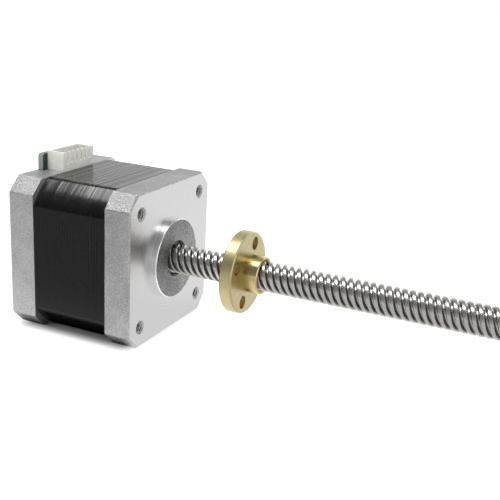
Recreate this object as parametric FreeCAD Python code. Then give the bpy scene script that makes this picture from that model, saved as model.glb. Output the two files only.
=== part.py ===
import FreeCAD, Part
import math
import os

# Stepper motor with an integral lead screw and a flanged nut.
# Millimetres; x runs along the shaft towards the screw's tip, z is up.
# The origin is on the shaft axis, in the plane of the front mounting face.

# Motor body
body_width = 42.0
stator_length = 22.5
front_wall = 3.2
cover_corner_cut = 4.0
cover_edge_round = 0.5
cover_edge_break = 0.4
stack_side_recess = 0.2

# Mounting face, pilot boss and tapped holes
mount_spacing = 31.0
mount_thread_diameter = 3.0
mount_thread_depth = 4.5
mount_countersink = 0.45
boss_diameter = 22.0
boss_height = 2.0
boss_edge_break = 0.3
boss_hole_diameter = 10.0
boss_lip = 1.2

# Case screws from the rear, drawn at the core of their thread
tie_core_diameter = 2.5
tie_hole_diameter = 3.4
tie_thread_clearance = 0.02
tie_tip_gap = 0.3
tie_head_diameter = 5.4
tie_head_height = 2.4
tie_head_clearance = 0.3
tie_counterbore_depth = 3.2

# Rotor and air gap
rotor_diameter = 22.0
rotor_tooth_count = 50
rotor_end_margin = 0.2
tooth_depth = 0.6
tooth_share = 0.5
magnet_thickness = 2.5
magnet_inset = 1.0
air_gap = 0.15
shaft_fit = 0.02

# Lamination stack
pole_count = 8
pole_tooth_count = 6
pole_width = 3.4
shoe_thickness = 1.75
tie_outer_wall = 1.6
tie_inner_wall = 2.6

# Bobbins and coils
bobbin_plate = 0.8
bobbin_wall = 0.7
bobbin_lip = 0.15
bobbin_cover_gap = 0.3
bobbin_guard_width = 6.0
bobbin_guard_inset = 0.45
bobbin_guard_wall = 1.0
coil_thickness = 2.9
coil_corner_cut = 1.6
coil_gap = 0.15
coil_outer_gap = 0.35
wire_room = 1.0

# Ball bearings
bearing_bore = 5.0
bearing_diameter = 16.0
bearing_width = 5.0
bearing_ring_wall = 1.5
bearing_seat_fit = 0.02
bearing_hub_wall = 1.6
shield_thickness = 0.35
shield_inset = 0.2
shield_gap = 0.15

# Rear wall, preload washer and shaft end
rear_lip = 1.4
rear_hole_diameter = 10.0
washer_thickness = 0.6
washer_seat_gap = 0.01
washer_edge_gap = 0.2
washer_width = 1.6
shaft_end_recess = 1.0
shaft_end_break = 0.4

# Connector on its board
board_back_wall = 0.6
board_thickness = 1.6
board_width = 18.0
board_stand = 4.5
board_hub_gap = 1.2
board_corner_round = 0.8
connector_length = 13.9
connector_depth = 5.4
connector_stand = 5.1
connector_front_gap = 0.4
connector_bobbin_gap = 0.5
connector_wall = 0.7
connector_end_wall = 0.9
connector_floor = 1.6
connector_slot_width = 0.9
connector_slot_depth = 3.3
window_clearance = 0.3
pin_count = 6
pin_pitch = 2.0
pin_size = 0.5
pin_clearance = 0.05
pin_tip_depth = 1.0
pin_root_height = 0.6

# Lead screw and nut
screw_diameter = 8.0
screw_length = 100.0
screw_tip_break = 1.0
nut_rest = 23.8
nut_flange_diameter = 22.0
nut_flange_thickness = 3.5
nut_hub_diameter = 10.2
nut_front_hub = 4.5
nut_rear_hub = 1.5
nut_edge_break = 0.3
nut_mouth_break = 0.5
nut_hole_diameter = 3.5
nut_hole_circle = 16.0
nut_hole_count = 4
nut_hole_angle = 67.0
nut_clearance = 0.05

# Radii that follow from the sizes above
rotor_radius = rotor_diameter / 2
bore_radius = rotor_radius + air_gap
shoe_radius = bore_radius + shoe_thickness
tie_core_radius = tie_core_diameter / 2
tie_hole_radius = tie_hole_diameter / 2
tie_circle_radius = mount_spacing / math.sqrt(2)
stack_corner_radius = tie_circle_radius + tie_hole_radius + tie_outer_wall
slot_radius = tie_circle_radius - tie_hole_radius - tie_inner_wall
bobbin_radius = slot_radius + bobbin_wall - bobbin_cover_gap
bobbin_flat = bobbin_radius * math.cos(math.pi / pole_count)
cavity_radius = bobbin_radius + bobbin_cover_gap
bearing_radius = bearing_diameter / 2
pocket_radius = bearing_radius + bearing_seat_fit
hub_radius = bearing_radius + bearing_hub_wall
shaft_radius = bearing_bore / 2 - shaft_fit
inner_ring_radius = bearing_bore / 2 + bearing_ring_wall
outer_ring_radius = bearing_radius - bearing_ring_wall
screw_radius = screw_diameter / 2
tooth_pitch = 360.0 / rotor_tooth_count
pole_pitch = 360.0 / pole_count

# Stations along the shaft
bobbin_height = bobbin_plate + coil_gap + coil_thickness + bobbin_lip
front_cover_length = front_wall + bobbin_height + bobbin_cover_gap
rear_cover_length = board_back_wall + board_thickness + connector_depth + connector_front_gap
stack_front = -front_cover_length
stack_rear = stack_front - stator_length
rear_face = stack_rear - rear_cover_length
front_cavity_floor = stack_front + bobbin_height + bobbin_cover_gap
rear_cavity_floor = stack_rear - bobbin_height - bobbin_cover_gap - wire_room
front_bearing_front = boss_height - boss_lip
front_bearing_rear = front_bearing_front - bearing_width
rear_pocket_floor = rear_face + rear_lip
rear_bearing_rear = rear_pocket_floor + washer_thickness + 2 * washer_seat_gap
rear_bearing_front = rear_bearing_rear + bearing_width
rotor_front = stack_front - rotor_end_margin
rotor_rear = stack_rear + rotor_end_margin
magnet_front = (rotor_front + rotor_rear + magnet_thickness) / 2
magnet_rear = magnet_front - magnet_thickness
board_rear = rear_face + board_back_wall
board_front = board_rear + board_thickness
connector_front = board_front + connector_depth
tie_seat = rear_face + tie_counterbore_depth
tie_tip = -mount_thread_depth - tie_tip_gap

# Heights of the connector above the shaft axis
top_side = body_width / 2
board_top = top_side + board_stand
board_bottom = hub_radius + board_hub_gap
connector_top = top_side + connector_stand
connector_bottom = bobbin_radius + connector_bobbin_gap
pin_root = connector_bottom + pin_root_height

x_axis = FreeCAD.Vector(1, 0, 0)
center = FreeCAD.Vector(0, 0, 0)


def cylinder(radius, start, end, y=0.0, z=0.0):
    return Part.makeCylinder(radius, end - start, FreeCAD.Vector(start, y, z), x_axis)


def ring(outer_radius, inner_radius, start, end):
    return cylinder(outer_radius, start, end).cut(cylinder(inner_radius, start, end))


def block(start, end, left, right, low, high):
    corner = FreeCAD.Vector(start, left, low)
    return Part.makeBox(end - start, right - left, high - low, corner)


def turned(profile):
    points = [FreeCAD.Vector(x, 0, radius) for x, radius in profile]
    face = Part.Face(Part.makePolygon(points + points[:1]))
    return face.revolve(center, x_axis, 360)


def turn_about_shaft(shape, angle):
    turned_shape = shape.copy()
    turned_shape.rotate(center, x_axis, angle)
    return turned_shape


def radial_block(inner, outer, width, start, end, angle):
    bar = block(start, end, inner, outer, -width / 2, width / 2)
    return turn_about_shaft(bar, angle)


# A prism with straight-sided teeth, centred on the given angles about the shaft
def toothed_prism(tip_radius, root_radius, angles, start, end):
    half = math.radians(tooth_pitch * tooth_share / 2)
    tooth = [(-half, root_radius), (-half, tip_radius), (half, tip_radius), (half, root_radius)]
    points = []
    for angle in angles:
        for turn, radius in tooth:
            corner_angle = math.radians(angle) + turn
            y = radius * math.cos(corner_angle)
            z = radius * math.sin(corner_angle)
            points.append(FreeCAD.Vector(start, y, z))
    outline = Part.Face(Part.makePolygon(points + points[:1]))
    return outline.extrude(FreeCAD.Vector(end - start, 0, 0))


# A prism with one flat side across each pole
def pole_prism(flat_radius, start, end):
    corner_radius = flat_radius / math.cos(math.pi / pole_count)
    points = []
    for index in range(pole_count):
        angle = math.radians(pole_pitch * (index + 0.5))
        y = corner_radius * math.cos(angle)
        z = corner_radius * math.sin(angle)
        points.append(FreeCAD.Vector(start, y, z))
    outline = Part.Face(Part.makePolygon(points + points[:1]))
    return outline.extrude(FreeCAD.Vector(end - start, 0, 0))


def square_corners(spacing):
    half = spacing / 2
    return [(y, z) for y in (-half, half) for z in (-half, half)]


def edges_along_shaft(shape):
    return [edge for edge in shape.Edges if edge.BoundBox.XLength > edge.BoundBox.DiagonalLength / 2]


def edges_at(shape, station):
    return [
        edge
        for edge in shape.Edges
        if abs(edge.CenterOfMass.x - station) < cover_edge_break
        and edge.BoundBox.XLength < cover_edge_break
    ]


def cover_block(start, end, outer_face):
    half = body_width / 2
    inner = half - cover_corner_cut
    corners = [
        (half, inner),
        (inner, half),
        (-inner, half),
        (-half, inner),
        (-half, -inner),
        (-inner, -half),
        (inner, -half),
        (half, -inner),
    ]
    points = [FreeCAD.Vector(start, y, z) for y, z in corners]
    outline = Part.Face(Part.makePolygon(points + points[:1]))
    cover = outline.extrude(FreeCAD.Vector(end - start, 0, 0))
    cover = cover.makeFillet(cover_edge_round, edges_along_shaft(cover))
    return cover.makeChamfer(cover_edge_break, edges_at(cover, outer_face))


# The front cover carries the boss, the front bearing and the mounting threads
def make_front_cover():
    cover = cover_block(stack_front, 0, 0)
    boss_radius = boss_diameter / 2
    boss = turned(
        [
            (-front_wall / 2, 0),
            (-front_wall / 2, boss_radius),
            (boss_height - boss_edge_break, boss_radius),
            (boss_height, boss_radius - boss_edge_break),
            (boss_height, 0),
        ]
    )
    hub = cylinder(hub_radius, front_bearing_rear, front_cavity_floor)
    cavity = cylinder(cavity_radius, stack_front, front_cavity_floor)
    cover = cover.cut(cavity).fuse([boss, hub])
    cuts = [
        cylinder(pocket_radius, front_bearing_rear, front_bearing_front),
        cylinder(boss_hole_diameter / 2, front_bearing_front, boss_height),
    ]
    thread_radius = mount_thread_diameter / 2
    tie_thread_radius = tie_core_radius + tie_thread_clearance
    for y, z in square_corners(mount_spacing):
        cuts.append(cylinder(thread_radius, -mount_thread_depth, 0, y, z))
        cuts.append(cylinder(tie_thread_radius, stack_front, -mount_thread_depth, y, z))
        mouth = Part.makeCone(
            thread_radius,
            thread_radius + mount_countersink,
            mount_countersink,
            FreeCAD.Vector(-mount_countersink, y, z),
            x_axis,
        )
        cuts.append(mouth)
    return cover.cut(cuts).removeSplitter()


# The rear cover holds the rear bearing, the case screws' heads and the connector window
def make_rear_cover():
    cover = cover_block(rear_face, stack_rear, rear_face)
    cavity = cylinder(cavity_radius, rear_cavity_floor, stack_rear)
    hub = cylinder(hub_radius, rear_cavity_floor, rear_bearing_front)
    cover = cover.cut(cavity).fuse(hub)
    half_window = connector_length / 2 + window_clearance
    half_slot = board_width / 2 + window_clearance
    above = top_side + connector_stand
    cuts = [
        cylinder(pocket_radius, rear_pocket_floor, rear_bearing_front),
        cylinder(rear_hole_diameter / 2, rear_face, rear_pocket_floor),
        block(board_front, stack_rear, -half_window, half_window, shoe_radius, above),
        block(
            board_rear,
            board_front + window_clearance,
            -half_slot,
            half_slot,
            board_bottom - window_clearance,
            above,
        ),
    ]
    head_radius = tie_head_diameter / 2 + tie_head_clearance
    for y, z in square_corners(mount_spacing):
        cuts.append(cylinder(tie_hole_radius, tie_seat, stack_rear, y, z))
        cuts.append(cylinder(head_radius, rear_face, tie_seat, y, z))
    return cover.cut(cuts).removeSplitter()


# Eight toothed poles inside a yoke whose corners are turned to one arc
def make_stator_stack():
    half = body_width / 2 - stack_side_recess
    square = block(stack_rear, stack_front, -half, half, -half, half)
    stack = square.common(cylinder(stack_corner_radius, stack_rear, stack_front))
    poles = [
        radial_block(-slot_radius, slot_radius, pole_width, stack_rear, stack_front, pole_pitch * index)
        for index in range(pole_count // 2)
    ]
    slots = ring(slot_radius, shoe_radius, stack_rear, stack_front).cut(poles)
    shoe_span = tooth_pitch * (pole_tooth_count - 1 + tooth_share)
    opening_width = math.radians(pole_pitch - shoe_span) * bore_radius
    cuts = [slots]
    gap_angles = []
    for index in range(pole_count):
        pole_angle = pole_pitch * index
        opening_angle = pole_angle + pole_pitch / 2
        for gap in range(pole_tooth_count - 1):
            gap_angles.append(pole_angle + tooth_pitch * (gap - (pole_tooth_count - 2) / 2))
        gap_angles.append(opening_angle)
        cuts.append(
            radial_block(rotor_radius, shoe_radius, opening_width, stack_rear, stack_front, opening_angle)
        )
    cuts.append(toothed_prism(bore_radius + tooth_depth, bore_radius, gap_angles, stack_rear, stack_front))
    for y, z in square_corners(mount_spacing):
        cuts.append(cylinder(tie_hole_radius, stack_rear, stack_front, y, z))
    return stack.cut(cuts)


# A spoked bobbin lies on each end of the stack, direction +1 at the front and -1 at the rear
def make_bobbin(stack_end, direction):
    plate = sorted([stack_end, stack_end + direction * bobbin_plate])
    full = sorted([stack_end, stack_end + direction * bobbin_height])
    guard_inner = bore_radius + bobbin_guard_inset
    guard_outer = guard_inner + bobbin_guard_wall
    wall = pole_prism(bobbin_flat, *full).cut(pole_prism(bobbin_flat - bobbin_wall, *full))
    spokes = [
        radial_block(guard_inner, bobbin_flat - bobbin_wall / 2, pole_width, *plate, pole_pitch * index)
        for index in range(pole_count)
    ]
    guards = [
        radial_block(guard_inner, guard_outer, bobbin_guard_width, *full, pole_pitch * index)
        for index in range(pole_count)
    ]
    return wall.fuse(guards + spokes).removeSplitter()


# One coil is a frame with cut corners around its pole and both bobbin spokes
def make_coils():
    inner_half_width = pole_width / 2 + coil_gap
    outer_half_width = inner_half_width + coil_thickness
    inner = shoe_radius + coil_gap
    outer = bobbin_flat - bobbin_wall - coil_outer_gap
    inner_reach = bobbin_plate + coil_gap
    outer_reach = inner_reach + coil_thickness
    body = block(
        stack_rear - outer_reach,
        stack_front + outer_reach,
        inner,
        outer,
        -outer_half_width,
        outer_half_width,
    )
    radial_edges = [edge for edge in body.Edges if edge.BoundBox.YLength > (outer - inner) / 2]
    body = body.makeChamfer(coil_corner_cut, radial_edges)
    opening = block(
        stack_rear - inner_reach,
        stack_front + inner_reach,
        inner,
        outer,
        -inner_half_width,
        inner_half_width,
    )
    coil = body.cut(opening)
    return [turn_about_shaft(coil, pole_pitch * index) for index in range(pole_count)]


# Toothed rotor cups stand half a tooth out of step with each other
def make_rotor_cup(rear, front, phase):
    angles = [tooth_pitch * (index + phase) for index in range(rotor_tooth_count)]
    cup = toothed_prism(rotor_radius, rotor_radius - tooth_depth, angles, rear, front)
    return cup.cut(cylinder(bearing_bore / 2, rear, front))


def make_spacer(rear, front):
    return ring(inner_ring_radius, bearing_bore / 2, rear, front)


def make_bearing_shields(rear, front):
    inner = inner_ring_radius + shield_gap
    low = rear + shield_inset
    high = front - shield_inset
    return [
        ring(outer_ring_radius, inner, low, low + shield_thickness),
        ring(outer_ring_radius, inner, high - shield_thickness, high),
    ]


# A thin spring ring, pressed flat, pushes the rear bearing forwards
def make_preload_washer():
    outer = bearing_radius - washer_edge_gap
    start = rear_pocket_floor + washer_seat_gap
    return ring(outer, outer - washer_width, start, start + washer_thickness)


# Each long screw seats in its counterbore and ends below the mounting thread
def make_tie_screws():
    head_radius = tie_head_diameter / 2
    head_rear = tie_seat - tie_head_height
    screw = turned(
        [
            (head_rear, 0),
            (head_rear, head_radius),
            (tie_seat, head_radius),
            (tie_seat, tie_core_radius),
            (tie_tip, tie_core_radius),
            (tie_tip, 0),
        ]
    )
    return [screw.translated(FreeCAD.Vector(0, y, z)) for y, z in square_corners(mount_spacing)]


def pin_places():
    return [pin_pitch * (index - (pin_count - 1) / 2) for index in range(pin_count)]


# A pin stands in the header and bends back through the board
def make_pin(y, grow):
    half = pin_size / 2 + grow
    middle = board_front + connector_depth / 2
    upright = block(
        middle - half,
        middle + half,
        y - half,
        y + half,
        pin_root - half,
        connector_top - pin_tip_depth,
    )
    tail = block(board_rear, middle + half, y - half, y + half, pin_root - half, pin_root + half)
    return upright.fuse(tail).removeSplitter()


def make_connector_pins():
    return [make_pin(y, 0) for y in pin_places()]


def make_connector_board():
    half = board_width / 2
    board = block(board_rear, board_front, -half, half, board_bottom, board_top)
    board = board.makeFillet(board_corner_round, edges_along_top(board))
    return board.cut([make_pin(y, pin_clearance) for y in pin_places()])


def edges_along_top(board):
    middle = (board_bottom + board_top) / 2
    return [edge for edge in edges_along_shaft(board) if edge.BoundBox.ZMin > middle]


# The header is open at the top, with a slot beside each pin in its front wall
def make_connector_housing():
    half = connector_length / 2
    housing = block(board_front, connector_front, -half, half, connector_bottom, connector_top)
    cavity = block(
        board_front + connector_wall,
        connector_front - connector_wall,
        -half + connector_end_wall,
        half - connector_end_wall,
        connector_bottom + connector_floor,
        connector_top,
    )
    cuts = [cavity]
    half_slot = connector_slot_width / 2
    for y in pin_places():
        slot = block(
            connector_front - connector_wall,
            connector_front,
            y - half_slot,
            y + half_slot,
            connector_top - connector_slot_depth,
            connector_top,
        )
        cuts.append(slot)
        cuts.append(make_pin(y, pin_clearance))
    return housing.cut(cuts)


# The motor shaft and the screw are one bar, stepped at the front bearing
def make_lead_screw():
    shaft_end = rear_face + shaft_end_recess
    return turned(
        [
            (shaft_end, 0),
            (shaft_end, shaft_radius - shaft_end_break),
            (shaft_end + shaft_end_break, shaft_radius),
            (front_bearing_front, shaft_radius),
            (front_bearing_front, screw_radius),
            (screw_length - screw_tip_break, screw_radius),
            (screw_length, screw_radius - screw_tip_break),
            (screw_length, 0),
        ]
    )


def make_lead_nut():
    front = nut_rest + nut_front_hub
    flange_rear = nut_rest - nut_flange_thickness
    rear = flange_rear - nut_rear_hub
    bore = screw_radius + nut_clearance
    mouth = bore + nut_mouth_break
    hub = nut_hub_diameter / 2
    flange = nut_flange_diameter / 2
    nut = turned(
        [
            (rear + nut_mouth_break, bore),
            (rear, mouth),
            (rear, hub - nut_edge_break),
            (rear + nut_edge_break, hub),
            (flange_rear, hub),
            (flange_rear, flange - nut_edge_break),
            (flange_rear + nut_edge_break, flange),
            (nut_rest - nut_edge_break, flange),
            (nut_rest, flange - nut_edge_break),
            (nut_rest, hub),
            (front - nut_edge_break, hub),
            (front, hub - nut_edge_break),
            (front, mouth),
            (front - nut_mouth_break, bore),
        ]
    )
    holes = []
    for index in range(nut_hole_count):
        angle = math.radians(nut_hole_angle + 360.0 * index / nut_hole_count)
        y = nut_hole_circle / 2 * math.cos(angle)
        z = nut_hole_circle / 2 * math.sin(angle)
        holes.append(cylinder(nut_hole_diameter / 2, flange_rear, nut_rest, y, z))
    return nut.cut(holes)


front_bearing = (front_bearing_rear, front_bearing_front)
rear_bearing = (rear_bearing_rear, rear_bearing_front)

nodes = {
    "front_cover": make_front_cover(),
    "rear_cover": make_rear_cover(),
    "stator_stack": make_stator_stack(),
    "front_insulator": make_bobbin(stack_front, 1),
    "rear_insulator": make_bobbin(stack_rear, -1),
    "coils": Part.makeCompound(make_coils()),
    "front_bearing_outer": ring(bearing_radius, outer_ring_radius, *front_bearing),
    "front_bearing_shields": Part.makeCompound(make_bearing_shields(*front_bearing)),
    "front_bearing_inner": ring(inner_ring_radius, bearing_bore / 2, *front_bearing),
    "rear_bearing_outer": ring(bearing_radius, outer_ring_radius, *rear_bearing),
    "rear_bearing_shields": Part.makeCompound(make_bearing_shields(*rear_bearing)),
    "rear_bearing_inner": ring(inner_ring_radius, bearing_bore / 2, *rear_bearing),
    "preload_washer": make_preload_washer(),
    "tie_screws": Part.makeCompound(make_tie_screws()),
    "connector_board": make_connector_board(),
    "connector_housing": make_connector_housing(),
    "connector_pins": Part.makeCompound(make_connector_pins()),
    "lead_screw": make_lead_screw(),
    "rotor_cup_front": make_rotor_cup(magnet_front, rotor_front, 0),
    "rotor_cup_rear": make_rotor_cup(rotor_rear, magnet_rear, 0.5),
    "rotor_magnet": ring(rotor_radius - magnet_inset, bearing_bore / 2, magnet_rear, magnet_front),
    "front_spacer": make_spacer(rotor_front, front_bearing_rear),
    "rear_spacer": make_spacer(rear_bearing_front, rotor_rear),
    "lead_nut": make_lead_nut(),
}

os.makedirs("parts", exist_ok=True)
for name, shape in nodes.items():
    shape.exportStep(os.path.join("parts", name + ".step"))
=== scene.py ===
import bmesh
import bpy
import math
import random
from mathutils import Matrix, Vector


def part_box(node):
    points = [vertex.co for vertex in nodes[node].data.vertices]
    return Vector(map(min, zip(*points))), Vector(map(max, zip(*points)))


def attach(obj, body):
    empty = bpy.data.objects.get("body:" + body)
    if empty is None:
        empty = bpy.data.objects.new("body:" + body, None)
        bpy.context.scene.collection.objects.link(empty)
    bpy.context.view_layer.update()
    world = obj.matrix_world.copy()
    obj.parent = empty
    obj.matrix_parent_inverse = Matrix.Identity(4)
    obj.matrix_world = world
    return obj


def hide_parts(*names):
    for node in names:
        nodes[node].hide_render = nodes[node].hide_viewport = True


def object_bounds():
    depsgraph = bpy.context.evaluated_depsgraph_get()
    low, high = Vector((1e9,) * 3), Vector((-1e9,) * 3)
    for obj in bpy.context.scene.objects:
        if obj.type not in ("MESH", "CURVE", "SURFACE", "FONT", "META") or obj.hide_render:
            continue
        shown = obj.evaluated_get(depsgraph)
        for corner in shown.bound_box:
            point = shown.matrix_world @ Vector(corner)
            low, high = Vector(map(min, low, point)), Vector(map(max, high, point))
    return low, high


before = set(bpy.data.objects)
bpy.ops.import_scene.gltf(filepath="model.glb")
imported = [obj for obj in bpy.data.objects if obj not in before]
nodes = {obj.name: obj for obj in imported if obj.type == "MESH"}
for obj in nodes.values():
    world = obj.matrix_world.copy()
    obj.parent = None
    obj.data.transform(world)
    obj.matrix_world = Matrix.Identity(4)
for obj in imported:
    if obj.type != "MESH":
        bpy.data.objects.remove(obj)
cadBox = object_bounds()
mm = 0.001
drawSeed = 17
random.seed(drawSeed)
print("frame loaded:", len(nodes), "nodes")


class Wire:  # a shader socket that takes part in plain sums
    def __init__(self, tree, socket=None):
        self.tree = tree
        self.socket = socket

    def node(self, kind, settings=None, inputs=None, output=0):
        made = self.tree.nodes.new("ShaderNode" + kind)
        for name, value in (settings or {}).items():
            setattr(made, name, value)
        for name, value in (inputs or {}).items():
            if isinstance(value, Wire):
                self.tree.links.new(value.socket, made.inputs[name])
            else:
                made.inputs[name].default_value = value
        return Wire(self.tree, made.outputs[output])

    def maths(self, operation, *values):
        return self.node("Math", {"operation": operation}, dict(enumerate(values)))

    def __add__(self, other):
        return self.maths("ADD", self, other)

    def __radd__(self, other):
        return self.maths("ADD", other, self)

    def __sub__(self, other):
        return self.maths("SUBTRACT", self, other)

    def __rsub__(self, other):
        return self.maths("SUBTRACT", other, self)

    def __mul__(self, other):
        return self.maths("MULTIPLY", self, other)

    def __rmul__(self, other):
        return self.maths("MULTIPLY", other, self)

    def __truediv__(self, other):
        return self.maths("DIVIDE", self, other)

    def __rtruediv__(self, other):
        return self.maths("DIVIDE", other, self)

    def __pow__(self, other):
        return self.maths("POWER", self, other)

    def __gt__(self, other):
        return self.maths("GREATER_THAN", self, other)

    def __lt__(self, other):
        return self.maths("LESS_THAN", self, other)


cloudRange = (0.35, 0.65)  # where most of a noise lies
mixFactor, mixFirst, mixSecond, mixResult = 0, 6, 7, 2  # a Mix node's sockets for colours


def between(value, low, high):  # 0 at low, 1 at high, eased
    return value.node(
        "MapRange",
        {"interpolation_type": "SMOOTHSTEP"},
        {"Value": value, "From Min": low, "From Max": high},
    )


def noise(point, scale, detail):
    return point.node("TexNoise", None, {"Vector": point, "Scale": scale, "Detail": detail})


def lines(value, scale, detail=2.0):  # noise that runs along one measure only
    return value.node(
        "TexNoise",
        {"noise_dimensions": "1D"},
        {"W": value, "Scale": scale, "Detail": detail},
    )


def swing(value, reach):  # noise lies about one half, and this about nought
    return (value - 0.5) * reach


def mixed(factor, first, second):  # colours
    sockets = {mixFactor: factor, mixFirst: first, mixSecond: second}
    return factor.node("Mix", {"data_type": "RGBA"}, sockets, mixResult)


def clouded(cloud, deep, pale):
    return mixed(between(cloud, *cloudRange), deep, pale)


def relief(height):  # height in millimetres
    return height.node("Bump", None, {"Distance": mm, "Height": height})


def surfaceOf(finish):
    return finish.node_tree.nodes["Principled BSDF"]


def newFinish(name, fixed):
    made = bpy.data.materials.new(name)
    made.use_nodes = True
    for socket, value in fixed.items():
        surfaceOf(made).inputs[socket].default_value = value
    return made, Wire(made.node_tree)


def feed(made, inputs):
    for socket, wire in inputs.items():
        made.node_tree.links.new(wire.socket, surfaceOf(made).inputs[socket])
    return made


def partPoint(paint):  # the place on the part in millimetres
    raw = paint.node("TexCoord", None, None, "Object")
    return paint.node("VectorMath", {"operation": "SCALE"}, {0: raw, "Scale": 1 / mm})


def along(vector, axis):
    return vector.node("SeparateXYZ", None, {0: vector}, axis)


def fromAxis(point):  # distance from the shaft's axis
    y, z = along(point, "Y"), along(point, "Z")
    return (y * y + z * z) ** 0.5


def facing(paint, axis):  # how far the surface faces along one axis
    return along(paint.node("NewGeometry", None, None, "Normal"), axis)


# Finishes. Lengths are in millimetres, and a noise is given by its scale and detail

castSet = {
    "bright": (0.62, 0.62, 0.624, 1),
    "dull": (0.38, 0.38, 0.384, 1),
    "cut": (0.54, 0.54, 0.543, 1),
    "bossSide": (0.95, 0.95, 0.953, 1),
    "bossFace": (0.37, 0.37, 0.372, 1),
    "bossDull": (0.14, 0.14, 0.141, 1),
    "grain": (2.2, 6.0),
    "grainDepth": 0.1,
    "grainRough": 0.3,
    "grainShare": 0.75,
    "patches": (0.16, 2.0),
    "toneRange": (0.36, 0.7),
    "ringScale": 4.0,
    "ringSlope": 2.0,  # how much closer the rings stand along the shaft than across it
    "ringDepth": 0.0025,
    "ringRough": 0.1,
    "castRough": 0.5,
    "cutRough": 0.24,
    "bossRough": 0.18,
    "cutFrom": -0.02,
    "bossFrom": 0.05,
    "bossEnd": 1.93,
    "rearFrom": -29.0,
    "rearLift": 0.1,  # the rear cover is a little brighter
}


def makeCastAluminium():
    made, paint = newFinish("castAluminium", {"Metallic": 1.0})
    point = partPoint(paint)
    x, radius = along(point, "X"), fromAxis(point)
    grain = noise(point, *castSet["grain"])
    patches = noise(point, *castSet["patches"])
    rings = lines(radius + x * castSet["ringSlope"], castSet["ringScale"])
    cut = (x > castSet["cutFrom"]) * (x < castSet["bossEnd"])  # the face and the boss's side are turned
    onBoss = x > castSet["bossFrom"]
    height = grain * castSet["grainDepth"] * (1 - cut) + rings * castSet["ringDepth"] * cut
    castRough = castSet["castRough"] + swing(grain, castSet["grainRough"])
    cutRough = castSet["cutRough"] * (1 - onBoss) + castSet["bossRough"] * onBoss
    cutRough = cutRough + rings * castSet["ringRough"]
    rearLift = (x < castSet["rearFrom"]) * castSet["rearLift"]
    speckle = grain * castSet["grainShare"] + patches * (1 - castSet["grainShare"]) + rearLift
    tone = between(speckle, *castSet["toneRange"])
    covers = mixed(tone, castSet["dull"], castSet["bright"])
    bossFace = mixed(tone, castSet["bossDull"], castSet["bossFace"])
    cast = mixed(x > castSet["bossEnd"], covers, bossFace)
    turned = mixed(onBoss, castSet["cut"], castSet["bossSide"])
    return feed(
        made,
        {
            "Base Color": mixed(cut, cast, turned),
            "Roughness": castRough * (1 - cut) + cutRough * cut,
            "Normal": relief(height),
        },
    )


paintSet = {
    "black": (0.003, 0.003, 0.0032, 1),
    "worn": (0.010, 0.010, 0.0098, 1),
    "wornRange": (0.22, 0.42),
    "rubbed": (0.04, 0.04, 0.04, 1),
    "rubbedShine": 0.5,
    "levelRange": (0.955, 0.99),  # squares of how far the surface faces up or down
    "sheet": 0.5,
    "sheetRough": 0.12,
    "sheetShine": 0.4,
    "line": 0.22,
    "lineRange": (0.36, 0.64),
    "lineDepth": 0.003,
    "lineShine": 0.3,
    "streak": 1.5,
    "streakRange": (0.44, 0.56),
    "streakDetail": 2.0,
    "noiseSpan": 2.1,  # how much of the noise goes into one line's width
    "mottle": (1.4, 4.0),
    "mottleDepth": 0.004,
    "mottleRough": 0.2,
    "rough": 0.17,
    "gloss": 0.3,
    "cornerFrom": (0.55, 0.7),  # how far the shining corners face up
    "cornerTo": (0.85, 0.9),
    "cornerShine": 0.1,
    "coatRough": 0.16,
    "coatIndex": 1.8,
}


def sheetLines(x, width, detail=1.0):  # lines about as wide as asked
    return lines(x, paintSet["noiseSpan"] / width, detail)


def makeBlackPaint():
    made, paint = newFinish(
        "blackPaint",
        {
            "Specular IOR Level": paintSet["gloss"],
            "Coat Roughness": paintSet["coatRough"],
            "Coat IOR": paintSet["coatIndex"],
        },
    )
    point = partPoint(paint)
    x, rise = along(point, "X"), facing(paint, "Z")
    mottle = noise(point, *paintSet["mottle"])
    sheets = sheetLines(x, paintSet["sheet"])
    fine = sheetLines(x, paintSet["line"])
    streaks = sheetLines(x, paintSet["streak"], paintSet["streakDetail"])
    sheetIndex = x.maths("FLOOR", x / paintSet["sheet"])
    single = paint.node("TexWhiteNoise", {"noise_dimensions": "1D"}, {"W": sheetIndex})
    level = between(rise * rise, *paintSet["levelRange"])
    rubbed = level * between(streaks, *paintSet["streakRange"])  # on the top and the underside
    corner = between(rise, *paintSet["cornerFrom"]) * (1 - between(rise, *paintSet["cornerTo"]))
    lineShine = paintSet["lineShine"] * between(fine, *paintSet["lineRange"])
    cornerShine = corner * (paintSet["cornerShine"] + lineShine + paintSet["sheetShine"] * single)
    coat = mixed(between(sheets * mottle, *paintSet["wornRange"]), paintSet["black"], paintSet["worn"])
    rough = paintSet["rough"] + swing(mottle, paintSet["mottleRough"])
    return feed(
        made,
        {
            "Base Color": mixed(rubbed, coat, paintSet["rubbed"]),
            "Coat Weight": cornerShine + rubbed * paintSet["rubbedShine"],
            "Roughness": rough + swing(sheets, paintSet["sheetRough"]),
            "Normal": relief(mottle * paintSet["mottleDepth"] + fine * paintSet["lineDepth"]),
        },
    )


steelSet = {
    "crest": (0.57, 0.565, 0.55, 1),
    "flankShade": (0.19, 0.188, 0.18, 1),
    "rootRange": (2.93, 3.12),  # radii over which the bright root gives way to the flank's painted shade
    "crestRange": (3.5, 3.85),  # and the crest turns bright
    "rootShare": 0.9,
    "brightShare": 0.9,
    "threadFrom": 0.85,
    "shankShare": 0.8,
    "smear": (2.5, 4.0),
    "smearShare": 0.2,
    "smearRough": 0.12,
    "smearDepth": 0.01,
    "metal": 0.95,
    "rough": 0.26,
    "flankRough": 0.05,
}


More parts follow.
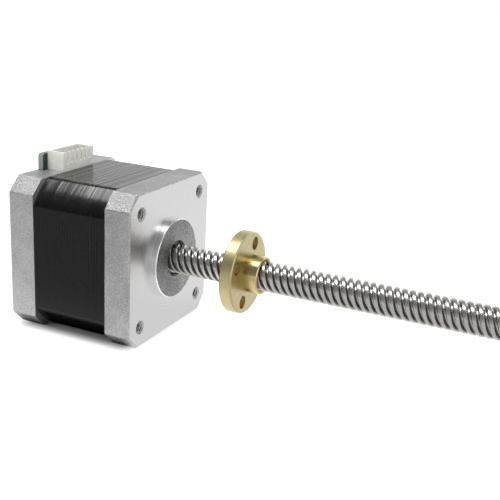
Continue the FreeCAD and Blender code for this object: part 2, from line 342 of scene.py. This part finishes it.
def makeScrewSteel():
    made, paint = newFinish("screwSteel", {"Metallic": steelSet["metal"]})
    point = partPoint(paint)
    radius = fromAxis(point)
    onThread = along(point, "X") > steelSet["threadFrom"]
    crest = between(radius, *steelSet["crestRange"])
    root = 1 - between(radius, *steelSet["rootRange"])
    smear = noise(point, *steelSet["smear"])
    bright = crest + root * steelSet["rootShare"]  # crests and roots shine; the flanks get a dark colour, painted shade for the thread's grooves
    brightness = bright * steelSet["brightShare"] + smear * steelSet["smearShare"]
    brightness = brightness * onThread + steelSet["shankShare"] * (1 - onThread)
    rough = steelSet["rough"] + (1 - brightness) * steelSet["flankRough"]
    return feed(
        made,
        {
            "Base Color": mixed(brightness, steelSet["flankShade"], steelSet["crest"]),
            "Roughness": rough + swing(smear, steelSet["smearRough"]),
            "Normal": relief(smear * steelSet["smearDepth"]),
        },
    )


brassSet = {
    "face": {"bright": (0.455, 0.40, 0.222, 1), "dull": (0.305, 0.262, 0.132, 1), "rough": 0.32},
    "rim": {"bright": (0.66, 0.572, 0.325, 1), "dull": (0.50, 0.428, 0.22, 1), "rough": 0.4},
    "hub": {"bright": (0.76, 0.62, 0.30, 1), "dull": (0.60, 0.475, 0.20, 1), "rough": 0.25},
    "hole": {"bright": (0.60, 0.49, 0.23, 1), "dull": (0.45, 0.36, 0.15, 1), "rough": 0.4},
    "mouthRadius": 4.8,
    "hubRadius": 5.4,
    "rimRadius": 10.6,
    "flatFrom": 0.6,
    "stain": (0.5, 3.0),
    "stainShare": 0.4,
    "stainRough": 0.1,
    "cleanRange": (0.25, 0.65),
    "lineScale": 5.0,
    "lineDepth": 0.006,
}


def makeNutBrass():
    made, paint = newFinish("nutBrass", {"Metallic": 1.0})
    point = partPoint(paint)
    x, radius, front = along(point, "X"), fromAxis(point), facing(paint, "X")
    flat = front * front > brassSet["flatFrom"]
    turned = lines(radius * flat + x * (1 - flat), brassSet["lineScale"])
    stain = noise(point, *brassSet["stain"])
    wear = stain * brassSet["stainShare"] + turned * (1 - brassSet["stainShare"])
    brightness = between(wear, *brassSet["cleanRange"])
    onHub = (radius > brassSet["mouthRadius"]) * (radius < brassSet["hubRadius"])
    hole = brassSet["hole"]
    tone, rough = mixed(brightness, hole["dull"], hole["bright"]), hole["rough"]
    for name, place in (("rim", radius > brassSet["rimRadius"]), ("hub", onHub), ("face", flat)):
        look = brassSet[name]
        tone = mixed(place, tone, mixed(brightness, look["dull"], look["bright"]))
        rough = rough * (1 - place) + look["rough"] * place
    return feed(
        made,
        {
            "Base Color": tone,
            "Roughness": rough + swing(stain, brassSet["stainRough"]),
            "Normal": relief(turned * brassSet["lineDepth"]),
        },
    )


nylonSet = {
    "pale": (0.81, 0.81, 0.765, 1),
    "deep": (0.74, 0.74, 0.692, 1),
    "through": (0.04, 0.04, 0.036, 1),  # painted glow: a little emitted light that stands in for light coming through the walls
    "cloud": (0.5, 3.0),
    "skin": (6.0, 2.0),
    "skinRough": 0.15,
    "skinDepth": 0.01,
    "rough": 0.42,
}


def makeIvoryNylon():
    through = {"Emission Color": nylonSet["through"], "Emission Strength": 1.0}
    made, paint = newFinish("ivoryNylon", through)
    point = partPoint(paint)
    cloud = noise(point, *nylonSet["cloud"])
    skin = noise(point, *nylonSet["skin"])
    return feed(
        made,
        {
            "Base Color": clouded(cloud, nylonSet["deep"], nylonSet["pale"]),
            "Roughness": nylonSet["rough"] + swing(skin, nylonSet["skinRough"]),
            "Normal": relief(skin * nylonSet["skinDepth"]),
        },
    )


boardSet = {
    "mask": (0.002, 0.014, 0.009, 1),
    "maskLight": (0.005, 0.036, 0.023, 1),
    "maskRange": (0.4, 0.6),
    "core": (0.32, 0.35, 0.33, 1),
    "coreDark": (0.22, 0.25, 0.23, 1),
    "broadFrom": 0.5,
    "weave": (6.0, 3.0),
    "cloud": (1.2, 3.0),
    "depth": 0.01,
    "rough": 0.3,
    "edgeRough": 0.4,
    "cloudRough": 0.1,
}


def makeGreenBoard():
    made, paint = newFinish("greenBoard", {})
    point, front = partPoint(paint), facing(paint, "X")
    broad = front * front > boardSet["broadFrom"]
    weave = lines(along(point, "X"), *boardSet["weave"])
    cloud = noise(point, *boardSet["cloud"])
    edge = clouded(weave, boardSet["coreDark"], boardSet["core"])
    face = mixed(between(cloud, *boardSet["maskRange"]), boardSet["mask"], boardSet["maskLight"])
    rough = boardSet["rough"] + (1 - broad) * boardSet["edgeRough"]
    return feed(
        made,
        {
            "Base Color": mixed(broad, edge, face),
            "Roughness": rough + swing(cloud, boardSet["cloudRough"]),
            "Normal": relief((weave * (1 - broad) + cloud * broad) * boardSet["depth"]),
        },
    )


turnedSet = {"ringScale": 6.0, "cloud": (1.6, 4.0), "cloudRough": 0.2}
metalSets = {
    "bearingSteel": {
        "bright": (0.74, 0.74, 0.74, 1),
        "dull": (0.5, 0.5, 0.5, 1),
        "rough": 0.16,
        "depth": 0.002,
    },
    # near-black steel, painted shade for the dark gap seen round the shaft in the bearing
    "shieldSteelShade": {
        "bright": (0.10, 0.10, 0.10, 1),
        "dull": (0.05, 0.05, 0.05, 1),
        "rough": 0.4,
        "depth": 0.004,
    },
    "zincPlate": {
        "bright": (0.72, 0.72, 0.70, 1),
        "dull": (0.5, 0.5, 0.47, 1),
        "rough": 0.28,
        "depth": 0.006,
    },
    "tinPlate": {
        "bright": (0.8, 0.8, 0.77, 1),
        "dull": (0.6, 0.6, 0.57, 1),
        "rough": 0.25,
        "depth": 0.003,
    },
    "rotorIron": {
        "bright": (0.42, 0.42, 0.42, 1),
        "dull": (0.28, 0.28, 0.28, 1),
        "rough": 0.35,
        "depth": 0.008,
    },
    "magnetSinter": {
        "bright": (0.24, 0.24, 0.25, 1),
        "dull": (0.16, 0.16, 0.17, 1),
        "rough": 0.5,
        "depth": 0.015,
    },
}


def makeTurnedMetal(name):
    look = metalSets[name]
    made, paint = newFinish(name, {"Metallic": 1.0})
    point = partPoint(paint)
    turned = lines(fromAxis(point) + along(point, "X"), turnedSet["ringScale"])
    cloud = noise(point, *turnedSet["cloud"])
    return feed(
        made,
        {
            "Base Color": clouded(cloud, look["dull"], look["bright"]),
            "Roughness": look["rough"] + swing(cloud, turnedSet["cloudRough"]),
            "Normal": relief((turned + cloud) * look["depth"]),
        },
    )


bobbinSet = {
    "pale": (0.72, 0.69, 0.58, 1),
    "deep": (0.60, 0.57, 0.47, 1),
    "cloud": (0.8, 3.0),
    "cloudRough": 0.1,
    "depth": 0.01,
    "rough": 0.5,
}


def makeBobbinPlastic():
    made, paint = newFinish("bobbinPlastic", {})
    cloud = noise(partPoint(paint), *bobbinSet["cloud"])
    return feed(
        made,
        {
            "Base Color": clouded(cloud, bobbinSet["deep"], bobbinSet["pale"]),
            "Roughness": bobbinSet["rough"] + swing(cloud, bobbinSet["cloudRough"]),
            "Normal": relief(cloud * bobbinSet["depth"]),
        },
    )


wireSet = {
    "bright": (0.72, 0.30, 0.12, 1),
    "dark": (0.30, 0.11, 0.05, 1),
    "strand": 0.35,
    "crownRange": (0.1, 0.8),
    "depth": 0.1,
    "metal": 0.8,
    "rough": 0.3,
    "grooveRough": 0.3,
}


def makeCopperWire():
    made, paint = newFinish("copperWire", {"Metallic": wireSet["metal"]})
    radius = fromAxis(partPoint(paint))
    wave = radius.maths("SINE", radius * (2 * math.pi / wireSet["strand"]))
    crown = wave * 0.5 + 0.5  # 0 between two strands, 1 on top of one; the colour darkens between the strands as painted shade
    return feed(
        made,
        {
            "Base Color": mixed(between(crown, *wireSet["crownRange"]), wireSet["dark"], wireSet["bright"]),
            "Roughness": wireSet["rough"] + (1 - crown) * wireSet["grooveRough"],
            "Normal": relief(crown * wireSet["depth"]),
        },
    )


finishes = {
    "cast_aluminium": makeCastAluminium(),
    "black_laminations": makeBlackPaint(),
    "bobbin_plastic": makeBobbinPlastic(),
    "copper_wire": makeCopperWire(),
    "bearing_steel": makeTurnedMetal("bearingSteel"),
    "shield_steel": makeTurnedMetal("shieldSteelShade"),
    "plated_screws": makeTurnedMetal("zincPlate"),
    "green_board": makeGreenBoard(),
    "ivory_nylon": makeIvoryNylon(),
    "tinned_pins": makeTurnedMetal("tinPlate"),
    "screw_steel": makeScrewSteel(),
    "rotor_iron": makeTurnedMetal("rotorIron"),
    "magnet": makeTurnedMetal("magnetSinter"),
    "nut_brass": makeNutBrass(),
}
nodeSlots = {
    "front_cover": "cast_aluminium",
    "rear_cover": "cast_aluminium",
    "stator_stack": "black_laminations",
    "front_insulator": "bobbin_plastic",
    "rear_insulator": "bobbin_plastic",
    "coils": "copper_wire",
    "front_bearing_outer": "bearing_steel",
    "front_bearing_shields": "shield_steel",
    "front_bearing_inner": "bearing_steel",
    "rear_bearing_outer": "bearing_steel",
    "rear_bearing_shields": "shield_steel",
    "rear_bearing_inner": "bearing_steel",
    "preload_washer": "shield_steel",
    "tie_screws": "plated_screws",
    "connector_board": "green_board",
    "connector_housing": "ivory_nylon",
    "connector_pins": "tinned_pins",
    "lead_screw": "screw_steel",
    "rotor_cup_front": "rotor_iron",
    "rotor_cup_rear": "rotor_iron",
    "rotor_magnet": "magnet",
    "front_spacer": "bearing_steel",
    "rear_spacer": "bearing_steel",
    "lead_nut": "nut_brass",
}
for name, slotName in nodeSlots.items():
    nodes[name].data.materials.clear()
    nodes[name].data.materials.append(finishes[slotName])
print("finishes made:", len(finishes))


# Pieces. Sizes are in millimetres and angles in degrees

def meshFrom(name, bm):
    mesh = bpy.data.meshes.new(name)
    bm.to_mesh(mesh)
    bm.free()
    return mesh


def newObject(name, data):
    made = bpy.data.objects.new(name, data)
    bpy.context.scene.collection.objects.link(made)
    return made


def settledNormals(bm, sharpAngle):  # each corner leans to the largest face that it blends into
    limit = math.cos(math.radians(sharpAngle))
    areas = {face: face.calc_area() for face in bm.faces}
    normals = []
    for face in bm.faces:
        for loop in face.loops:
            total = Vector()
            for other in loop.vert.link_faces:
                if other.normal.dot(face.normal) > limit:
                    total += other.normal * areas[other]
            normals.append(total.normalized() if total.length > 0 else face.normal.copy())
    return normals


def addPiece(name, bm, body, slotName, replaced=(), sharpAngle=35):
    bmesh.ops.recalc_face_normals(bm, faces=bm.faces)
    bm.normal_update()
    normals = settledNormals(bm, sharpAngle)
    mesh = meshFrom(name, bm)
    for face in mesh.polygons:
        face.use_smooth = True
    mesh.normals_split_custom_set(normals)
    mesh.materials.append(finishes[slotName])
    piece = newObject(name, mesh)
    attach(piece, body)
    if replaced:
        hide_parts(*replaced)
    return piece


def circlePoint(bm, x, radius, step, steps, middle=(0, 0)):  # about a line along x
    angle = 2 * math.pi * step / steps
    y, z = middle[0] + radius * math.cos(angle), middle[1] + radius * math.sin(angle)
    return bm.verts.new((x * mm, y * mm, z * mm))


def ring(bm, x, radius, steps, middle=(0, 0)):
    return [circlePoint(bm, x, radius, step, steps, middle) for step in range(steps)]


def addFace(bm, corners):  # corners that fall together count once
    distinct = list(dict.fromkeys(corners))
    if len(distinct) > 2:
        bm.faces.new(distinct)


def skin(bm, rings):  # faces from each ring to the next, where a ring may be one point
    for pair in zip(rings, rings[1:]):
        size = max(len(points) for points in pair)
        first, second = (points * (size // len(points)) for points in pair)
        for i in range(size):
            after = (i + 1) % size
            addFace(bm, (first[i], first[after], second[after], second[i]))


def fourPlaces(spread):  # the corners of a square about the shaft
    return [(y, z) for y in (-spread, spread) for z in (-spread, spread)]


softenSet = {"merge": 0.002, "flat": 0.5, "edge": 28, "segments": 2, "profile": 0.5}
softEdges = {
    "front_cover": {"piece": "frontCover", "width": 0.12, "body": "motor"},
    "rear_cover": {"piece": "rearCover", "width": 0.12, "body": "motor"},
    "connector_housing": {"piece": "connectorHousing", "width": 0.1, "body": "motor"},
    "connector_board": {"piece": "connectorBoard", "width": 0.06, "body": "motor"},
    "lead_nut": {"piece": "leadNut", "width": 0.07, "body": "nut"},
}


def softened(node, width):  # a copy of a solid with its sharp edges broken
    bm = bmesh.new()
    bm.from_mesh(nodes[node].data)
    bmesh.ops.remove_doubles(bm, verts=bm.verts, dist=softenSet["merge"] * mm)
    bmesh.ops.dissolve_limit(
        bm,
        angle_limit=math.radians(softenSet["flat"]),
        use_dissolve_boundaries=False,
        verts=bm.verts,
        edges=bm.edges,
        delimit=set(),
    )
    sharp = [
        edge
        for edge in bm.edges
        if len(edge.link_faces) == 2 and edge.calc_face_angle(0) > math.radians(softenSet["edge"])
    ]
    bmesh.ops.bevel(
        bm,
        geom=sharp,
        offset=width * mm,
        offset_type="OFFSET",
        segments=softenSet["segments"],
        profile=softenSet["profile"],
        affect="EDGES",
        clamp_overlap=True,
    )
    return bm


for node, edgeSet in softEdges.items():
    addPiece(edgeSet["piece"], softened(node, edgeSet["width"]), edgeSet["body"], nodeSlots[node], [node])
print("soft-edged pieces made:", len(softEdges))


threadSet = {
    "pitch": 2.0,
    "starts": 4,
    "profile": [  # place within one pitch from the crest, and radius
        (-0.50, 3.86),
        (-0.44, 3.95),
        (-0.35, 4.0),
        (0.0, 4.0),
        (0.35, 4.0),
        (0.44, 3.95),
        (0.50, 3.86),
        (0.72, 3.02),
        (0.79, 2.94),
        (1.0, 2.90),
        (1.21, 2.94),
        (1.28, 3.02),
    ],
    "columns": 96,
    "spareRibs": 2,
    "endMargin": 0.01,
    "merge": 0.0001,
    "sharpAngle": 40,
    "tipBreak": 1.0,
    "shaftRadius": 2.48,
    "shankBreak": 0.4,
    "centreHole": 0.75,
    "centreDepth": 0.6,
}
threadLead = threadSet["pitch"] * threadSet["starts"]


def ribRadius(x, column):  # the thread's radius where a flat end cuts it
    pitch, profile = threadSet["pitch"], threadSet["profile"]
    points = profile + [(profile[0][0] + pitch, profile[0][1])]
    place = (x - threadLead * column / threadSet["columns"]) % pitch
    if place > points[-1][0]:
        place -= pitch
    (x0, r0), (x1, r1) = next(pair for pair in zip(points, points[1:]) if place <= pair[1][0])
    return r0 + (r1 - r0) * (place - x0) / (x1 - x0)


def addThread(bm, start, tip, tipRadius):  # gives back the rims at both ends
    columns, pitch, profile = threadSet["columns"], threadSet["pitch"], threadSet["profile"]
    size = len(profile)
    oneTurn = size * threadSet["starts"]  # rows that the helix climbs in one turn
    firstRow = int((start - threadLead) / pitch - threadSet["spareRibs"]) * size - oneTurn
    lastRow = int(tip / pitch + threadSet["spareRibs"]) * size
    radii = [ribRadius(start, column) for column in range(columns)]
    startRim = [circlePoint(bm, start, radius, column, columns) for column, radius in enumerate(radii)]
    tipRim = ring(bm, tip, tipRadius, columns)
    grid = {}

    def point(row, column):
        if column == columns:
            row, column = row + oneTurn, 0
        rib, part = divmod(row, size)
        place, radius = profile[part]
        x = rib * pitch + place + threadLead * column / columns
        if x <= start + threadSet["endMargin"]:
            return startRim[column]
        if x >= tip - threadSet["endMargin"]:
            return tipRim[column]
        if (row, column) not in grid:
            grid[row, column] = circlePoint(bm, x, min(radius, tip - x + tipRadius), column, columns)
        return grid[row, column]

    for column in range(columns):
        for row in range(firstRow, lastRow):
            places = ((row, column), (row, column + 1), (row + 1, column + 1), (row + 1, column))
            addFace(bm, [point(*place) for place in places])
    return startRim, tipRim


def makeLeadScrew():
    low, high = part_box("lead_screw")
    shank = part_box("front_bearing_inner")  # the thread starts where this ring ends
    rear, tip, start = low.x / mm, high.x / mm, shank[1].x / mm
    columns, hole, depth = threadSet["columns"], threadSet["centreHole"], threadSet["centreDepth"]
    shaft, edge = threadSet["shaftRadius"], threadSet["shankBreak"]
    bm = bmesh.new()
    startRim, tipRim = addThread(bm, start, tip, high.z / mm - threadSet["tipBreak"])
    rearRings = [
        ring(bm, rear + depth, 0, 1),
        ring(bm, rear, hole, columns),
        ring(bm, rear, shaft - edge, columns),
        ring(bm, rear + edge, shaft, columns),
        ring(bm, start, shaft, columns),
        startRim,
    ]
    tipRings = [tipRim, ring(bm, tip, hole, columns), ring(bm, tip - depth, 0, 1)]
    skin(bm, rearRings)
    skin(bm, tipRings)
    bmesh.ops.remove_doubles(bm, verts=bm.verts, dist=threadSet["merge"] * mm)
    return bm


leadScrew = addPiece(
    "leadScrew", makeLeadScrew(), "rotor", "screw_steel", ["lead_screw"], threadSet["sharpAngle"]
)
print("lead screw made:", len(leadScrew.data.vertices), "points")


rimSet = {
    "sheet": 0.5,
    "seam": 0.07,
    "stand": 0.1,  # how far the sheets stand out of the solid stack
    "waver": 0.012,
    "slant": 0.008,
    "sink": 0.1,
    "round": 2.2,  # where the sides turn into the corner arcs
    "roundSteps": 4,
    "arcSteps": 8,
}


def arc(middle, radius, start, end, steps):
    angles = [start + (end - start) * step / steps for step in range(steps + 1)]
    return [(middle[0] + radius * math.cos(a), middle[1] + radius * math.sin(a)) for a in angles]


def stackOutline(grow, half, corner):  # one sheet's edge, square with arcs at its corners
    half, corner, blend = half + grow, corner + grow, rimSet["round"]
    blendUp, blendAlong = half - blend, math.sqrt((corner - blend) ** 2 - (half - blend) ** 2)
    turn, square = math.atan2(blendAlong, blendUp), math.pi / 2
    quarter = arc((blendUp, blendAlong), blend, 0, turn, rimSet["roundSteps"])[:-1]
    quarter += arc((0, 0), corner, turn, square - turn, rimSet["arcSteps"])
    quarter += arc((blendAlong, blendUp), blend, square - turn, square, rimSet["roundSteps"])[1:]
    points = []
    for side in range(4):
        points += quarter
        quarter = [(-b, a) for a, b in quarter]
    return points


def makeLaminationRims():
    low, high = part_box("stator_stack")
    half = high.z / mm
    corner = max(math.hypot(v.co.y, v.co.z) for v in nodes["stator_stack"].data.vertices) / mm
    count = round((high.x - low.x) / mm / rimSet["sheet"])
    sink = -rimSet["sink"]
    bm = bmesh.new()
    for sheet in range(count):
        start = low.x / mm + sheet * rimSet["sheet"]
        end = start + rimSet["sheet"] - rimSet["seam"]
        grow = rimSet["stand"] + random.uniform(-1, 1) * rimSet["waver"]
        slant = random.uniform(-1, 1) * rimSet["slant"] / 2
        loops = []
        for x, size in ((start, sink), (start, grow - slant), (end, grow + slant), (end, sink)):
            outline = stackOutline(size, half, corner)
            loops.append([bm.verts.new((x * mm, y * mm, z * mm)) for y, z in outline])
        skin(bm, loops + loops[:1])
    return bm


addPiece("laminationRims", makeLaminationRims(), "motor", "black_laminations")
print("lamination edges made")


headSet = {
    "radius": 2.7,
    "crown": [(0.0, 1.7), (0.12, 2.2), (0.42, 2.56), (0.85, 2.7)],  # depth below the top, and radius
    "seat": 3.2,  # depth of the counterbores in the rear cover
    "shank": 1.25,
    "crossReach": 1.5,
    "crossWidth": 0.72,
    "crossFloor": 0.5,  # the share of its size that the recess keeps at its floor
    "crossDepth": 1.3,
    "crossAbove": 0.2,  # how far the cutter stands over the head
    "steps": 48,
}
squareCorners = ((-1, -1), (1, -1), (1, 1), (-1, 1))


def lathe(bm, profile, middle, steps):  # profile from axis to axis, about a line along x
    skin(bm, [ring(bm, x, radius, steps if radius else 1, middle) for x, radius in profile])


def addCross(tool, top, middle):  # two tapered bars that cut a cross recess
    long, short = headSet["crossReach"], headSet["crossWidth"] / 2
    ends = ((top - headSet["crossAbove"], 1.0), (top + headSet["crossDepth"], headSet["crossFloor"]))
    for wide, tall in ((long, short), (short, long)):
        rows = []
        for x, share in ends:
            row = []
            for a, b in squareCorners:
                y, z = middle[0] + a * wide * share, middle[1] + b * tall * share
                row.append(tool.verts.new((x * mm, y * mm, z * mm)))
            rows.append(row)
        addFace(tool, rows[0])
        addFace(tool, rows[1])
        skin(tool, rows)


def cutAway(bm, tool):  # one solid less another
    objects = []
    for name, source in (("cutBody", bm), ("cutTool", tool)):
        bmesh.ops.recalc_face_normals(source, faces=source.faces)
        objects.append(newObject(name, meshFrom(name, source)))
    body, cutter = objects
    modifier = body.modifiers.new("cut", "BOOLEAN")
    modifier.operation = "DIFFERENCE"
    modifier.solver = "EXACT"
    modifier.use_self = True
    modifier.object = cutter
    graph = bpy.context.evaluated_depsgraph_get()
    result = bmesh.new()
    result.from_mesh(body.evaluated_get(graph).to_mesh())
    for made in objects:
        bpy.data.objects.remove(made)
    return result


def makeTieScrews():
    low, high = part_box("tie_screws")
    top, tip = low.x / mm, high.x / mm
    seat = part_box("rear_cover")[0].x / mm + headSet["seat"]
    radius, shank = headSet["radius"], headSet["shank"]
    profile = [(top, 0)] + [(top + depth, crownRadius) for depth, crownRadius in headSet["crown"]]
    profile += [(seat, radius), (seat, shank), (tip, shank), (tip, 0)]
    bm = bmesh.new()
    tool = bmesh.new()
    for middle in fourPlaces(high.z / mm - radius):
        lathe(bm, profile, middle, headSet["steps"])
        addCross(tool, top, middle)
    return cutAway(bm, tool)


addPiece("tieScrews", makeTieScrews(), "motor", "plated_screws", ["tie_screws"])
print("tie screws made")


holeSet = {
    "pitch": 0.5,
    "wall": 1.56,
    "crest": 1.27,
    "base": 0.2,
    "steps": 28,
    "from": -4.4,
    "to": -0.5,
    "spread": 15.5,  # half of the hole square
}


def makeMountThreads():
    pitch, steps, base, wall = (holeSet[key] for key in ("pitch", "steps", "base", "wall"))
    rib = ((-base, wall), (0, holeSet["crest"]), (base, wall))  # offset along the hole, and radius
    count = int((holeSet["to"] - holeSet["from"]) / pitch * steps)
    bm = bmesh.new()
    for middle in fourPlaces(holeSet["spread"]):
        rows = []
        for step in range(count + 1):
            x = holeSet["from"] + pitch * step / steps
            rows.append([circlePoint(bm, x + dx, radius, step, steps, middle) for dx, radius in rib])
        skin(bm, rows)
        addFace(bm, rows[0])
        addFace(bm, rows[-1])
    return bm


addPiece("mountThreads", makeMountThreads(), "motor", "cast_aluminium")
print("mounting threads made")


# Stage, light and camera. The stage is in millimetres, the lights in metres

unlit = (0, 0, 0, 1)
glowing = {"Specular IOR Level": 0.0, "Emission Strength": 1.0}
mountFace = 0  # x of the motor's front face


def flatSheet(name, xRange, yRange, level, finish):
    (left, right), (near, far) = xRange, yRange
    corners = ((left, near), (right, near), (right, far), (left, far))
    bm = bmesh.new()
    bm.faces.new([bm.verts.new((x * mm, y * mm, level * mm)) for x, y in corners])
    mesh = meshFrom(name, bm)
    mesh.materials.append(finish)
    return newObject(name, mesh)


def motorShadowMask(point, inset, reach):  # 1 over the motor's inset foot, 0 a reach outside it: a mask for painted contact shadow
    rear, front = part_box("rear_cover")[0] / mm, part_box("front_cover")[1] / mm
    gaps = []
    for axis, low, high in (("X", rear.x, mountFace), ("Y", rear.y, front.y)):
        place = along(point, axis)
        offset = place.maths("ABSOLUTE", place - (low + high) / 2)
        gaps.append(place.maths("MAXIMUM", offset - (high - low) / 2 + inset, 0))
    return 1 - between((gaps[0] * gaps[0] + gaps[1] * gaps[1]) ** 0.5, 0, reach)


floorSet = {
    "size": 40000.0,
    "colour": (0.45, 0.45, 0.45, 1),
    "glow": (0.83, 0.83, 0.83, 1),
    "rough": 0.9,
    "contactInset": 5.0,
    "contactShadow": 6.5,
}


def makeFloor():
    half = floorSet["size"] / 2
    fixed = {**glowing, "Base Color": floorSet["colour"], "Roughness": floorSet["rough"]}
    made, paint = newFinish("floorGlowWithPaintedShadow", fixed)
    contactShadow = motorShadowMask(partPoint(paint), floorSet["contactInset"], floorSet["contactShadow"])
    # the floor's glow fades to none under the motor's foot, a painted contact shadow
    feed(made, {"Emission Color": mixed(contactShadow, floorSet["glow"], unlit)})
    floor = flatSheet("floor", (-half, half), (-half, half), cadBox[0].z / mm, made)


cardSet = {
    "from": 18.0,  # y of its far edge, where it starts to darken
    "full": -12.0,
    "motorStep": 45.0,  # how much further out that is beside the motor
    "motorEnd": (10.0, 30.0),
    "reach": 3000.0,
    "lift": 0.05,
    "contactInset": 3.0,
    "contactShadow": 8.0,
    "shadeEnd": -4.0,
    "pale": (1.1, 1.1, 1.1, 1),
    "dark": (0.66, 0.66, 0.66, 1),
}


def makeCard():  # a glowing grey card on the floor in front, which only reflections show; it carries painted shadow of the motor and the screw
    made, paint = newFinish("cardGrey", {**glowing, "Base Color": unlit})
    point = partPoint(paint)
    x, y = along(point, "X"), along(point, "Y")
    # under the screw the darkening starts at once, painted shadow of the screw; beside the motor it starts
    # further out
    step = cardSet["motorStep"] * (1 - between(x, *cardSet["motorEnd"]))
    shade = mixed(between(y + step, cardSet["from"], cardSet["full"]), cardSet["pale"], cardSet["dark"])
    # painted contact shadow of the motor, which only reflections show
    contactShadow = motorShadowMask(point, cardSet["contactInset"], cardSet["contactShadow"])
    contactShadow = contactShadow * between(x, mountFace, cardSet["shadeEnd"])  # the front face sees none of it
    feed(made, {"Emission Color": mixed(contactShadow, shade, unlit)})
    reach, level = cardSet["reach"], cadBox[0].z / mm + cardSet["lift"]
    card = flatSheet("card", (-reach, reach), (-reach, cardSet["from"]), level, made)
    card.visible_camera = False
    card.visible_diffuse = False
    card.visible_shadow = False


lightSet = {
    "overhead": {
        "place": (-0.26, -0.1, 0.8),
        "aim": (-0.26, -0.1, 0.0),
        "size": (0.62, 0.3),
        "power": 3.7,
        "mirrored": True,  # whether reflections show it
    },
    "front": {
        "place": (0.45, 0.15, 0.8),
        "aim": (0.0, 0.0, 0.0),
        "size": (0.3, 0.22),
        "power": 0.9,
        "mirrored": True,
    },
    "side": {
        "place": (-0.4, -0.95, 0.75),
        "aim": (0.0, 0.0, 0.0),
        "size": (0.6, 0.6),
        "power": 4.2,
        "mirrored": False,
    },
}


def makeLights():
    for name, light in lightSet.items():
        data = bpy.data.lights.new(name, "AREA")
        data.shape = "RECTANGLE"
        data.size, data.size_y = light["size"]
        data.energy = light["power"]
        lamp = newObject(name, data)
        lamp.location = light["place"]
        lamp.rotation_mode = "QUATERNION"
        lamp.rotation_quaternion = (Vector(light["aim"]) - Vector(light["place"])).to_track_quat("-Z", "Y")
        lamp.visible_glossy = light["mirrored"]


worldSet = {  # ranges are measured on the way that a ray goes
    "near": (0.19, 0.19, 0.192, 1),
    "nearRight": (0.45, 0.45, 0.45, 1),
    "rightRange": (-0.35, 0.1),
    "far": (1.32, 1.32, 1.32, 1),
    "farShares": (0.8, 0.9),  # of the way to the right and of the way to the back
    "farRange": (-0.6, 0.8),
    "horizon": (1.1, 1.1, 1.1, 1),
    "horizonRange": (0.04, 0.12),
    "aboveNear": (0.16, 0.16, 0.162, 1),
    "aboveFar": (0.36, 0.36, 0.363, 1),
    "aboveDepth": (-0.5, 0.2),
    "aboveFront": (0.33, 0.33, 0.33, 1),
    "frontRange": (0.1, 0.5),
    "aboveRange": (0.38, 0.62),
}


def makeWorld():
    world = bpy.data.worlds.new("studio")
    world.use_nodes = True
    bpy.context.scene.world = world
    towards = Wire(world.node_tree).node("TexCoord", None, None, "Generated")
    right, away, rise = (along(towards, axis) for axis in "XYZ")
    rightShare, awayShare = worldSet["farShares"]
    depth = away * awayShare + right * rightShare
    near = mixed(between(right, *worldSet["rightRange"]), worldSet["near"], worldSet["nearRight"])
    level = mixed(between(depth, *worldSet["farRange"]), near, worldSet["far"])
    low = mixed(between(rise, *worldSet["horizonRange"]), worldSet["horizon"], level)
    above = mixed(between(away, *worldSet["aboveDepth"]), worldSet["aboveNear"], worldSet["aboveFar"])
    above = mixed(between(right, *worldSet["frontRange"]), above, worldSet["aboveFront"])
    shade = mixed(between(rise, *worldSet["aboveRange"]), low, above)
    world.node_tree.links.new(shade.socket, world.node_tree.nodes["Background"].inputs["Color"])


cameraSet = {
    "azimuth": 24.0813,
    "elevation": 17.6533,
    "roll": 3.1492,
    "lens": 62.083,
    "sensor": 36.0,
    "clip": (0.01, 100),  # metres
    "back": 237.5088,  # millimetres from the origin
    "right": 21.8332,
    "up": 1.9021,
}


def makeCamera():
    azimuth, elevation, roll = (math.radians(cameraSet[key]) for key in ("azimuth", "elevation", "roll"))
    back = Vector(
        (
            math.sin(azimuth) * math.cos(elevation),
            -math.cos(azimuth) * math.cos(elevation),
            math.sin(elevation),
        )
    )
    level = Vector((math.cos(azimuth), math.sin(azimuth), 0))
    rise = back.cross(level)
    right = level * math.cos(roll) + rise * math.sin(roll)
    up = rise * math.cos(roll) - level * math.sin(roll)
    data = bpy.data.cameras.new("camera")
    data.sensor_width = cameraSet["sensor"]
    data.lens = cameraSet["lens"]
    data.clip_start, data.clip_end = cameraSet["clip"]
    camera = newObject("camera", data)
    place = (right * cameraSet["right"] + up * cameraSet["up"] + back * cameraSet["back"]) * mm
    camera.matrix_world = Matrix.Translation(place) @ Matrix((right, up, back)).transposed().to_4x4()
    bpy.context.scene.camera = camera


makeFloor()
makeCard()
makeLights()
makeWorld()
makeCamera()
bpy.context.scene.view_settings.view_transform = "Standard"
print("stage, lights and camera made")
